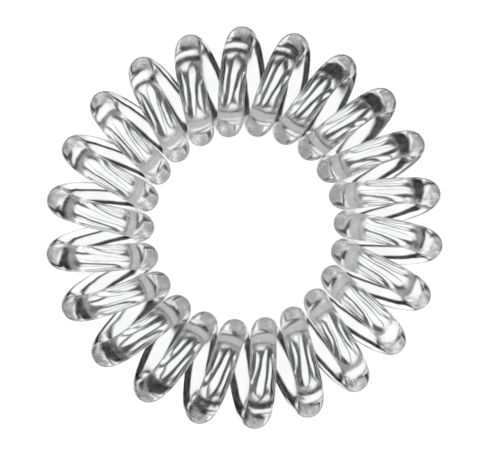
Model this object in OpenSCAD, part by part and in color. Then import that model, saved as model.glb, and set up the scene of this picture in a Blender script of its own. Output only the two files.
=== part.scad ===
// Spiral hair tie: one clear round cord, wound as a spring and welded end to end into a ring.
// Millimetres. The ring lies on the XY plane, centred on Z, and rests on the bottoms of its turns.

/* [Cord] */
// Diameter of the cord
cord_d = 2.65; // [1.6:0.05:3.4]

/* [Coil] */
// Width of one turn of the coil, from the hole to the outside
coil_w = 10.95; // [8:0.05:16]
// Height of one turn of the coil, as it lies on a table
coil_h = 10.95; // [8:0.05:16]
// Number of turns round the ring
turns = 22; // [16:1:26]
// Mean clear gap between neighbouring turns where they crowd round the hole
hole_gap = 0.3; // [0.25:0.05:1.5]

/* [Set that the tie has taken] */
// Azimuth of the first turn's outer tip, in degrees from X
first_tip = 9.6; // [0:0.1:22]
// Most that the turns have crept round the ring towards one side of it, in degrees
creep = 1.9; // [0:0.1:2.2]
// Azimuth of that side, in degrees from X
creep_side = 46; // [-180:1:180]
// Most that they have crept besides towards the two ends of one diameter, in degrees
pinch = 0.45; // [0:0.05:0.6]
// Azimuth of one of those two ends, in degrees from X
pinch_side = -29; // [-180:1:180]
// Half of what the ring's longest diameter has over its mean one
oval = 0.1; // [0:0.05:0.5]
// Azimuth of the longest diameter, in degrees from X
oval_side = 83; // [-180:1:180]

/* [Mesh] */
// Flat sides round the cord
cord_sides = 12; // [8:1:12]
// Rings of corners along one turn
turn_rings = 20; // [16:1:22]

/* [Hidden] */
CLEAR_PLASTIC = [0.93, 0.94, 0.95, 0.45];

// The cord's centre line runs round the ring between two circles, one through the inner tips of the
// turns and one through the outer tips. The inner circle is as long as the turns need, so the hole
// and the ring's own diameter follow from the cord, the gap and the number of turns.
inner_r = turns * (cord_d + hole_gap) / (2 * PI);
sweep_w = (coil_w - cord_d) / 2;
sweep_h = (coil_h - cord_d) / 2;
mid_r = inner_r + sweep_w;

ring_count = turns * turn_rings;

// A station is how far round the ring a point of the cord is, from 0 to 1. The phase is how far it is
// round its own turn: 0 at the outer tip, 90 on top, 180 at the inner tip and 270 underneath.
function phase(station) = 360 * turns * station;
function even_azimuth(station) = first_tip + 360 * station;
function azimuth(station) =
    let (even = even_azimuth(station))
    even - creep * sin(even - creep_side) - pinch * sin(2 * (even - pinch_side));
function ring_r(station) = mid_r + oval * cos(2 * (even_azimuth(station) - oval_side));

function outward(station) = [cos(azimuth(station)), sin(azimuth(station)), 0];
function centre_line(station) =
    outward(station) * (ring_r(station) + sweep_w * cos(phase(station)))
    + [0, 0, coil_h / 2 + sweep_h * sin(phase(station))];

function unit(v) = v / norm(v);
function along(station, step = 0.25 / ring_count) =
    unit(centre_line(station + step) - centre_line(station - step));

// The direction out of the turn, square to the cord. It closes on itself after a whole ring.
function out_of_turn(station) =
    let (
        lean = outward(station) * cos(phase(station)) + [0, 0, sin(phase(station))],
        axis = along(station)
    ) unit(lean - axis * (lean * axis));

// The corners of the cord's section at one station. They lie on the cord's true surface.
function section(station) =
    let (
        middle = centre_line(station),
        up = out_of_turn(station),
        side = cross(along(station), up)
    ) [
        for (corner = [0 : cord_sides - 1])
            let (turned = 360 * corner / cord_sides)
            middle + (up * cos(turned) + side * sin(turned)) * cord_d / 2
    ];

// Two triangles for each flat between one ring of corners and the next. The last ring meets the first.
function flats(ring) = [
    for (corner = [0 : cord_sides - 1])
        let (
            here = ring * cord_sides,
            ahead = (ring + 1) % ring_count * cord_sides,
            beside = (corner + 1) % cord_sides
        )
        each [
            [here + corner, ahead + corner, ahead + beside],
            [here + corner, ahead + beside, here + beside]
        ]
];

module coil() {
    color(CLEAR_PLASTIC)
    polyhedron(
        points = [for (ring = [0 : ring_count - 1]) each section(ring / ring_count)],
        faces = [for (ring = [0 : ring_count - 1]) each flats(ring)]
    );
}

coil();
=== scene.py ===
import math

import bpy
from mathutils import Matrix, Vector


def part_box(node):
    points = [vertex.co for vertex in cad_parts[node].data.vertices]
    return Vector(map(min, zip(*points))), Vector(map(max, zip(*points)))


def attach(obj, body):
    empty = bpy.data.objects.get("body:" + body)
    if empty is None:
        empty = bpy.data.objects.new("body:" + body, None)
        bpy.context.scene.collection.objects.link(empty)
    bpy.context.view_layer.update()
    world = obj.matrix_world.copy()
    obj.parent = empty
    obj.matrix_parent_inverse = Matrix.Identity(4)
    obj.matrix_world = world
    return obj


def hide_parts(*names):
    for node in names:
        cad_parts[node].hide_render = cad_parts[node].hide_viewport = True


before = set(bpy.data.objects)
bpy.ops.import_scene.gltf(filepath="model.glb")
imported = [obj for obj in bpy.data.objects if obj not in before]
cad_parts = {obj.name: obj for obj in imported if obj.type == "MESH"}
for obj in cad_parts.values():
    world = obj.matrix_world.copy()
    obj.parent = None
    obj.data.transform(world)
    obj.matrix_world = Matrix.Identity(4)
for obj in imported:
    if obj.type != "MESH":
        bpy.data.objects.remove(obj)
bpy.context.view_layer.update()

# The cord
# One round cord of clear, colourless thermoplastic polyurethane, drawn through a round die, wound as a
# spring of 22 turns, set by heat and welded end to end into a ring. It lies flat by itself, and its turns
# have crept a little towards one side. The die leaves faint lines along it, and cooling leaves ripples.
MM = 0.001
CORD_D = 2.65 * MM
COIL_W = 10.95 * MM
TURNS = 22
HOLE_GAP = 0.3 * MM
FIRST_TIP = math.radians(9.6)
CREEP = math.radians(1.9)
CREEP_SIDE = math.radians(46)
PINCH = math.radians(0.45)
PINCH_SIDE = math.radians(-29)
OVAL = 0.1 * MM
OVAL_SIDE = math.radians(83)
RINGS_PER_TURN = 96
CORD_SIDES = 32
UNEVEN = 0.006 * MM

# Each noise: how fine it is round the section, how fine along the whole cord, and its detail.
PATCHES = (1.1, 22.0, 0.0)
DIE_LINES = (9.0, 6.0, 1.0)
RIPPLES = (2.2, 60.0, 0.0)
WANDER = (1.3, 14.0, 1.0)
DIE_LINE_DEPTH = 0.009 * MM
RIPPLE_DEPTH = 0.035 * MM
LINES_START = 0.45
LINES_FULL = 0.66
CLEAR_TPU_IOR = 1.5
HAZE_LEAST = 0.11
HAZE_MOST = 0.16
CLEAREST = (1.0, 1.0, 1.0, 1.0)
GREYEST = (0.97, 0.975, 0.98, 1.0)

bottom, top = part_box("coil")
COIL_H = top[2] - bottom[2]


def in_scene(name, data):
    """A new object at the origin with the given mesh or camera."""
    thing = bpy.data.objects.new(name, data)
    bpy.context.scene.collection.objects.link(thing)
    return thing


def bare_material(name):
    """A material with an empty node tree, with that tree and the socket for its surface."""
    material = bpy.data.materials.new(name)
    material.use_nodes = True
    tree = material.node_tree
    tree.nodes.clear()
    return material, tree, tree.nodes.new("ShaderNodeOutputMaterial").inputs["Surface"]


def put(socket, value):
    """Links another node's socket to this one, or sets the value that stands in it."""
    if isinstance(value, bpy.types.NodeSocket):
        socket.id_data.links.new(value, socket)
    else:
        socket.default_value = value


def calc(tree, operation, *values):
    """A Math node, with its result."""
    node = tree.nodes.new("ShaderNodeMath")
    node.operation = operation
    for socket, value in zip(node.inputs, values):
        put(socket, value)
    return node.outputs[0]


def join_xyz(tree, x, y, z):
    """A vector of three values."""
    node = tree.nodes.new("ShaderNodeCombineXYZ")
    for socket, value in zip(node.inputs, (x, y, z)):
        put(socket, value)
    return node.outputs[0]


def about_z(tree, radius, angle, height):
    """The point at a distance from Z, an angle round it and a height."""
    return join_xyz(tree, calc(tree, "MULTIPLY", radius, calc(tree, "COSINE", angle)),
                    calc(tree, "MULTIPLY", radius, calc(tree, "SINE", angle)), height)


def ramp(tree, value, start, end, low, high, way="LINEAR"):
    """Goes from low to high as the value goes from start to end."""
    node = tree.nodes.new("ShaderNodeMapRange")
    node.interpolation_type = way
    for name, number in (("From Min", start), ("From Max", end), ("To Min", low), ("To Max", high)):
        node.inputs[name].default_value = number
    put(node.inputs["Value"], value)
    return node.outputs[0]


def parts_of(tree, vector):
    """The x, y and z of a vector."""
    node = tree.nodes.new("ShaderNodeSeparateXYZ")
    put(node.inputs[0], vector)
    return node.outputs


def noise_on_cord(tree, round_parts, along_parts, round_scale, along_scale, detail):
    """Noise that runs round the section and along the cord, and meets itself both ways."""
    place = join_xyz(tree, calc(tree, "MULTIPLY", round_parts["X"], round_scale),
                     calc(tree, "MULTIPLY", round_parts["Y"], round_scale),
                     calc(tree, "MULTIPLY", along_parts["X"], along_scale))
    noise = tree.nodes.new("ShaderNodeTexNoise")
    noise.noise_dimensions = "4D"
    put(noise.inputs["Vector"], place)
    put(noise.inputs["W"], calc(tree, "MULTIPLY", along_parts["Y"], along_scale))
    noise.inputs["Scale"].default_value = 1.0
    noise.inputs["Detail"].default_value = detail
    return noise.outputs["Fac"]


def clear_cord_material():
    """Clear plastic, glass-smooth but for the die's faint lines, soft ripples and a breath of haze."""
    material, tree, surface = bare_material("clear_cord")
    plastic = tree.nodes.new("ShaderNodeBsdfPrincipled")
    plastic.inputs["Transmission Weight"].default_value = 1.0
    plastic.inputs["IOR"].default_value = CLEAR_TPU_IOR
    put(surface, plastic.outputs[0])

    def marked_on_cord(name):
        node = tree.nodes.new("ShaderNodeAttribute")
        node.attribute_name = name
        return parts_of(tree, node.outputs["Vector"])

    round_parts = marked_on_cord("round_cord")
    along_parts = marked_on_cord("along_cord")
    patches = noise_on_cord(tree, round_parts, along_parts, *PATCHES)
    die_lines = tree.nodes.new("ShaderNodeBump")
    die_lines.inputs["Distance"].default_value = DIE_LINE_DEPTH
    put(die_lines.inputs["Strength"], ramp(tree, patches, LINES_START, LINES_FULL, 0.0, 1.0))
    put(die_lines.inputs["Height"], noise_on_cord(tree, round_parts, along_parts, *DIE_LINES))
    ripples = tree.nodes.new("ShaderNodeBump")
    ripples.inputs["Distance"].default_value = RIPPLE_DEPTH
    put(ripples.inputs["Height"], noise_on_cord(tree, round_parts, along_parts, *RIPPLES))
    put(ripples.inputs["Normal"], die_lines.outputs[0])
    put(plastic.inputs["Normal"], ripples.outputs[0])
    put(plastic.inputs["Roughness"], ramp(tree, patches, 0.0, 1.0, HAZE_LEAST, HAZE_MOST))

    tint = tree.nodes.new("ShaderNodeMix")
    tint.data_type = "RGBA"
    put(tint.inputs["Factor"], patches)
    tint.inputs["A"].default_value = CLEAREST
    tint.inputs["B"].default_value = GREYEST
    put(plastic.inputs["Base Color"], tint.outputs["Result"])
    return material


clear_cord = clear_cord_material()

wound = bpy.data.node_groups.new("wound_cord", "GeometryNodeTree")
cord_inputs = (
    # name, kind, value
    ("Cord diameter", "NodeSocketFloat", CORD_D),
    ("Coil width", "NodeSocketFloat", COIL_W),
    ("Coil height", "NodeSocketFloat", COIL_H),
    ("Turns", "NodeSocketInt", TURNS),
    ("Gap at the hole", "NodeSocketFloat", HOLE_GAP),
    ("First tip", "NodeSocketFloat", FIRST_TIP),
    ("Creep", "NodeSocketFloat", CREEP),
    ("Creep side", "NodeSocketFloat", CREEP_SIDE),
    ("Pinch", "NodeSocketFloat", PINCH),
    ("Pinch side", "NodeSocketFloat", PINCH_SIDE),
    ("Oval", "NodeSocketFloat", OVAL),
    ("Oval side", "NodeSocketFloat", OVAL_SIDE),
    ("Rings in a turn", "NodeSocketInt", RINGS_PER_TURN),
    ("Sides of the cord", "NodeSocketInt", CORD_SIDES),
    ("Unevenness", "NodeSocketFloat", UNEVEN),
    ("Plastic", "NodeSocketMaterial", clear_cord),
)
cord_sockets = {}
for name, kind, value in cord_inputs:
    cord_sockets[name] = wound.interface.new_socket(name=name, in_out="INPUT", socket_type=kind)
wound.interface.new_socket(name="Geometry", in_out="OUTPUT", socket_type="NodeSocketGeometry")
given = wound.nodes.new("NodeGroupInput").outputs
result = wound.nodes.new("NodeGroupOutput")


def node_of(kind, **inputs):
    """A Geometry Nodes node with its inputs set by name, with underscores for spaces."""
    node = wound.nodes.new(kind)
    for name, value in inputs.items():
        put(node.inputs[name.replace("_", " ")], value)
    return node


def sum_of(*values):
    total = values[0]
    for value in values[1:]:
        total = calc(wound, "ADD", total, value)
    return total


def less(value, taken):
    return calc(wound, "SUBTRACT", value, taken)


def times(value, factor):
    return calc(wound, "MULTIPLY", value, factor)


def place_in_row(count):
    """How far along its row of corners each corner stands, from 0 to 1."""
    return calc(wound, "DIVIDE", wound.nodes.new("GeometryNodeInputIndex").outputs[0], count)


# The centre line: round the ring once, between the circle through the inner tips of the turns and the
# circle through the outer tips. The phase is how far a ring of corners is round its own turn, from the
# outer tip over the top to the inner tip.
rings = times(given["Turns"], given["Rings in a turn"])
round_ring = times(place_in_row(rings), math.tau)
phase = times(round_ring, given["Turns"])
even = sum_of(round_ring, given["First tip"])
creep = times(given["Creep"], calc(wound, "SINE", less(even, given["Creep side"])))
pinch = times(given["Pinch"], calc(wound, "SINE", times(less(even, given["Pinch side"]), 2.0)))
azimuth = less(less(even, creep), pinch)
pitch = sum_of(given["Cord diameter"], given["Gap at the hole"])
inner_r = calc(wound, "DIVIDE", times(given["Turns"], pitch), math.tau)
sweep_w = times(less(given["Coil width"], given["Cord diameter"]), 0.5)
sweep_h = times(less(given["Coil height"], given["Cord diameter"]), 0.5)
oval = times(given["Oval"], calc(wound, "COSINE", times(less(even, given["Oval side"]), 2.0)))
lean_out = calc(wound, "COSINE", phase)
lean_up = calc(wound, "SINE", phase)
out_of_axis = sum_of(inner_r, sweep_w, oval, times(sweep_w, lean_out))
height = sum_of(times(given["Coil height"], 0.5), times(sweep_h, lean_up))

path = node_of("GeometryNodeCurvePrimitiveCircle", Resolution=rings)
place_path = node_of("GeometryNodeSetPosition", Geometry=path.outputs["Curve"],
                     Position=about_z(wound, out_of_axis, azimuth, height))
turn_path = node_of("GeometryNodeSetCurveNormal", Curve=place_path.outputs[0])
turn_path.mode = "FREE"
put(turn_path.inputs["Normal"], about_z(wound, lean_out, azimuth, lean_up))
keep_along = node_of("GeometryNodeCaptureAttribute", Geometry=turn_path.outputs[0])
keep_along.capture_items.new("VECTOR", "along")
put(keep_along.inputs["along"], about_z(wound, 1.0, round_ring, 0.0))

# The section: a round of corners about the centre line.
section = node_of("GeometryNodeCurvePrimitiveCircle", Resolution=given["Sides of the cord"],
                  Radius=times(given["Cord diameter"], 0.5))
round_section = times(place_in_row(given["Sides of the cord"]), math.tau)
keep_round = node_of("GeometryNodeCaptureAttribute", Geometry=section.outputs["Curve"])
keep_round.capture_items.new("VECTOR", "round")
put(keep_round.inputs["round"], about_z(wound, 1.0, round_section, 0.0))
cord = node_of("GeometryNodeCurveToMesh", Curve=keep_along.outputs["Geometry"],
               Profile_Curve=keep_round.outputs["Geometry"])
along_here = keep_along.outputs["along"]
round_here = keep_round.outputs["round"]

# A drawn cord is never quite even: its surface wanders by a few thousandths of a millimetre.
wander = noise_on_cord(wound, parts_of(wound, round_here), parts_of(wound, along_here), *WANDER)
outwards = wound.nodes.new("ShaderNodeVectorMath")
outwards.operation = "SCALE"
put(outwards.inputs[0], wound.nodes.new("GeometryNodeInputNormal").outputs[0])
put(outwards.inputs["Scale"], times(less(wander, 0.5), given["Unevenness"]))
uneven = node_of("GeometryNodeSetPosition", Geometry=cord.outputs["Mesh"], Offset=outwards.outputs[0])
smooth = node_of("GeometryNodeSetShadeSmooth", Geometry=uneven.outputs[0])


def stored(geometry, name, value):
    """Keeps a value at each corner of the cord, for its material."""
    node = wound.nodes.new("GeometryNodeStoreNamedAttribute")
    node.data_type = "FLOAT_VECTOR"
    node.domain = "POINT"
    put(node.inputs["Geometry"], geometry)
    put(node.inputs["Name"], name)
    put(node.inputs["Value"], value)
    return node.outputs[0]


marked = stored(stored(smooth.outputs[0], "round_cord", round_here), "along_cord", along_here)
made = node_of("GeometryNodeRealizeInstances", Geometry=marked)
finished = node_of("GeometryNodeSetMaterial", Geometry=made.outputs[0], Material=given["Plastic"])
put(result.inputs[0], finished.outputs[0])

cord_path = in_scene("cord_path", bpy.data.meshes.new("cord_path"))
winding = cord_path.modifiers.new("wound_cord", "NODES")
winding.node_group = wound
for name, kind, value in cord_inputs:
    winding[cord_sockets[name].identifier] = value
wound_path = cord_path.evaluated_get(bpy.context.evaluated_depsgraph_get())
cord_mesh = bpy.data.meshes.new_from_object(wound_path)
cord_path.modifiers.remove(winding)
bpy.data.objects.remove(cord_path)
spiral_cord = in_scene("spiral_cord", cord_mesh)
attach(spiral_cord, "root")
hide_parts("coil")

# The floor
# A white sheet that the tie lies on. It glows by itself, so that it stays white, and its own material draws
# the soft shadow close to the tie. The light seen through the plastic comes from the lamps below it.
FLOOR_HALF = 1.5
SHADOW_REACH = 3 * MM
SHADOW_SAMPLES = 8
SHUT_IN = 0.05
OPEN = 0.4
SHADOW_GREY = 0.45
SHEET_WHITE = 1.05
floor_mesh = bpy.data.meshes.new("floor")
floor_corners = [(x * FLOOR_HALF, y * FLOOR_HALF, 0) for x, y in ((-1, -1), (1, -1), (1, 1), (-1, 1))]
floor_mesh.from_pydata(floor_corners, [], [(0, 1, 2, 3)])
floor = in_scene("floor", floor_mesh)
white_sheet, sheet_tree, sheet_surface = bare_material("white_sheet")
glow = sheet_tree.nodes.new("ShaderNodeEmission")
glow.inputs["Color"].default_value = (1.0, 1.0, 1.0, 1.0)
close_to_tie = sheet_tree.nodes.new("ShaderNodeAmbientOcclusion")
close_to_tie.inputs["Distance"].default_value = SHADOW_REACH
close_to_tie.samples = SHADOW_SAMPLES
contact = ramp(sheet_tree, close_to_tie.outputs["AO"], SHUT_IN, OPEN, SHADOW_GREY, SHEET_WHITE)
put(glow.inputs["Strength"], contact)
put(sheet_surface, glow.outputs[0])
floor_mesh.materials.append(white_sheet)
floor.visible_transmission = False
floor.visible_glossy = False
floor.visible_shadow = False

# The painted shade in the hole
# A glowing grey disc with a feathered edge, painted shade that lies in the hole of the ring, as wide as the
# hole and a little to the right. The camera doesn't see it, but the inner ends of the turns do, and it
# makes them evenly grey.
SHADE_DISC_R = 8.7 * MM
SHADE_DISC_FEATHER_FROM = 7.0 * MM
SHADE_DISC_X = 0.8 * MM
SHADE_DISC_Z = 0.05 * MM
SHADE_DISC_GREY = 0.5
SHADE_DISC_CORNERS = 96
shade_disc_mesh = bpy.data.meshes.new("hole_shade_disc")
shade_disc_points = []
for i in range(SHADE_DISC_CORNERS):
    t = math.tau * i / SHADE_DISC_CORNERS
    shade_disc_points.append((SHADE_DISC_X + SHADE_DISC_R * math.cos(t), SHADE_DISC_R * math.sin(t), SHADE_DISC_Z))
shade_disc_mesh.from_pydata(shade_disc_points, [], [tuple(range(SHADE_DISC_CORNERS))])
shade_disc = in_scene("hole_shade_disc", shade_disc_mesh)
painted_hole_shade, shade_disc_tree, shade_disc_surface = bare_material("painted_hole_shade")
# Painted shade: the disc glows an even grey and fades to clear towards its edge.
shade_disc_glow = shade_disc_tree.nodes.new("ShaderNodeEmission")
shade_disc_glow.inputs["Color"].default_value = (SHADE_DISC_GREY, SHADE_DISC_GREY, SHADE_DISC_GREY, 1.0)
from_middle = shade_disc_tree.nodes.new("ShaderNodeVectorMath")
from_middle.operation = "DISTANCE"
put(from_middle.inputs[0], shade_disc_tree.nodes.new("ShaderNodeTexCoord").outputs["Object"])
from_middle.inputs[1].default_value = (SHADE_DISC_X, 0.0, SHADE_DISC_Z)
feathered = shade_disc_tree.nodes.new("ShaderNodeMixShader")
put(feathered.inputs[0],
    ramp(shade_disc_tree, from_middle.outputs["Value"], SHADE_DISC_FEATHER_FROM, SHADE_DISC_R, 1.0, 0.0, "SMOOTHSTEP"))
put(feathered.inputs[1], shade_disc_tree.nodes.new("ShaderNodeBsdfTransparent").outputs[0])
put(feathered.inputs[2], shade_disc_glow.outputs[0])
put(shade_disc_surface, feathered.outputs[0])
shade_disc_mesh.materials.append(painted_hole_shade)
shade_disc.visible_camera = False
shade_disc.visible_shadow = False

# The light
# A soft studio, far enough away to be drawn on the sky: a lit panel straight under the sheet and a long
# lamp of two panels on each side of it, then softboxes above the table, two dim ones low down, a pale
# horizon and a dim ceiling, with dark gaps between them. All of it stands a little askew.
DARK_BELOW = 0.004
HORIZON = 0.36
DARK_ABOVE = 0.22
CEILING = 0.36
SKY_SEEN = 1.0
# Heights on the sky, where 0 is level and 1 straight up, between which one brightness turns to the next.
BELOW_TO_HORIZON = (-0.3, -0.1)
HORIZON_TO_ABOVE = (0.15, 0.4)
ABOVE_TO_CEILING = (0.87, 0.95)
panels_below = (
    # turn, then across and along of the middle, half width, half length, soft edge, brightness
    (-5, -0.03, -0.015, 0.35, 0.22, 0.045, 1.0),
    (3, 0.0, -0.50, 0.53, 0.155, 0.03, 1.08),
    (3, 0.155, -0.68, 0.375, 0.175, 0.03, 1.08),
    (0, 0.07, 0.53, 0.46, 0.11, 0.03, 1.1),
    (-9, -0.10, 0.65, 0.39, 0.155, 0.03, 1.1),
)
softboxes = (
    # azimuth, elevation, half width, half height in degrees, soft edge, brightness
    (155, 35, 42, 28, 0.1, 1.4),
    (-23, 29, 34, 23, 0.1, 1.0),
    (-100, 50, 45, 18, 0.1, 0.8),
    (158, -15, 38, 17, 0.1, 0.27),
    (-52, -15, 30, 15, 0.1, 0.32),
)
world = bpy.data.worlds.new("studio")
bpy.context.scene.world = world
world.use_nodes = True
sky = world.node_tree
sky.nodes.clear()
sky_out = sky.nodes.new("ShaderNodeOutputWorld")
lamps = sky.nodes.new("ShaderNodeBackground")
direction = sky.nodes.new("ShaderNodeTexCoord").outputs["Generated"]
sky_height = parts_of(sky, direction)["Z"]


def fade(value, start, end, low, high):
    """Goes smoothly from low to high as the value goes from start to end."""
    return ramp(sky, value, start, end, low, high, "SMOOTHSTEP")


def window(value, middle, half_size, edge):
    """1 inside a band of values and 0 outside it, with soft edges."""
    away = calc(sky, "ABSOLUTE", calc(sky, "SUBTRACT", value, middle))
    return fade(away, half_size - edge, half_size + edge, 1.0, 0.0)


def towards(axis):
    """How far a direction on the sky points along an axis, from -1 to 1."""
    node = sky.nodes.new("ShaderNodeVectorMath")
    node.operation = "DOT_PRODUCT"
    put(node.inputs[0], direction)
    node.inputs[1].default_value = axis
    return node.outputs["Value"]


def lit(side, across, up, brightness):
    """The light of one lamp: on the right side of the sky, and inside both its windows."""
    return calc(sky, "MULTIPLY", calc(sky, "MULTIPLY", side, brightness), calc(sky, "MULTIPLY", across, up))


def blend(factor, first, second):
    """Mixes two brightnesses."""
    node = sky.nodes.new("ShaderNodeMix")
    put(node.inputs["Factor"], factor)
    put(node.inputs["A"], first)
    put(node.inputs["B"], second)
    return node.outputs["Result"]


light = calc(sky, "ADD", fade(sky_height, *BELOW_TO_HORIZON, DARK_BELOW, HORIZON),
             fade(sky_height, *HORIZON_TO_ABOVE, 0.0, DARK_ABOVE - HORIZON))
below = calc(sky, "LESS_THAN", sky_height, 0.0)
for turn, x, y, half_w, half_l, edge, brightness in panels_below:
    t = math.radians(turn)
    across = window(towards((math.cos(t), math.sin(t), 0.0)), x, half_w, edge)
    along = window(towards((-math.sin(t), math.cos(t), 0.0)), y, half_l, edge)
    light = calc(sky, "MAXIMUM", light, lit(below, across, along, brightness))
for turn, lift, half_w, half_h, edge, brightness in softboxes:
    a = math.radians(turn)
    e = math.radians(lift)
    facing = (math.cos(e) * math.cos(a), math.cos(e) * math.sin(a), math.sin(e))
    sideways = (-math.sin(a), math.cos(a), 0.0)
    upwards = (-math.sin(e) * math.cos(a), -math.sin(e) * math.sin(a), math.cos(e))
    ahead = calc(sky, "GREATER_THAN", towards(facing), 0.0)
    across = window(towards(sideways), 0.0, math.sin(math.radians(half_w)), edge)
    up = window(towards(upwards), 0.0, math.sin(math.radians(half_h)), edge)
    light = calc(sky, "MAXIMUM", light, lit(ahead, across, up, brightness))
light = blend(fade(sky_height, *ABOVE_TO_CEILING, 0.0, 1.0), light, CEILING)
light = blend(sky.nodes.new("ShaderNodeLightPath").outputs["Is Camera Ray"], light, SKY_SEEN)
put(lamps.inputs["Color"], light)
put(sky_out.inputs["Surface"], lamps.outputs[0])

# The camera
# It looks straight down on the tie, as the photograph does, with the ring a little left of the middle
# and above it.
PHOTO_W = 500
PHOTO_H = 466
PX_PER_M = 10.05 / MM
RING_PX_X = 244.1
RING_PX_Y = 227.75
CAMERA_UP = 0.6
NEAREST = 0.01
RAY_BOUNCES = 24
camera_lens = bpy.data.cameras.new("camera")
camera_lens.sensor_fit = "HORIZONTAL"
camera_lens.lens = camera_lens.sensor_width * CAMERA_UP / (PHOTO_W / PX_PER_M)
camera_lens.clip_start = NEAREST
camera = in_scene("camera", camera_lens)
camera.location = ((PHOTO_W / 2 - RING_PX_X) / PX_PER_M, (RING_PX_Y - PHOTO_H / 2) / PX_PER_M,
                   COIL_H / 2 + CAMERA_UP)
bpy.context.scene.camera = camera
scene = bpy.context.scene
scene.view_settings.view_transform = "Standard"
scene.cycles.max_bounces = RAY_BOUNCES
scene.cycles.transmission_bounces = RAY_BOUNCES
scene.cycles.glossy_bounces = RAY_BOUNCES
scene.cycles.blur_glossy = 0.0
scene.cycles.sample_clamp_indirect = 0.0
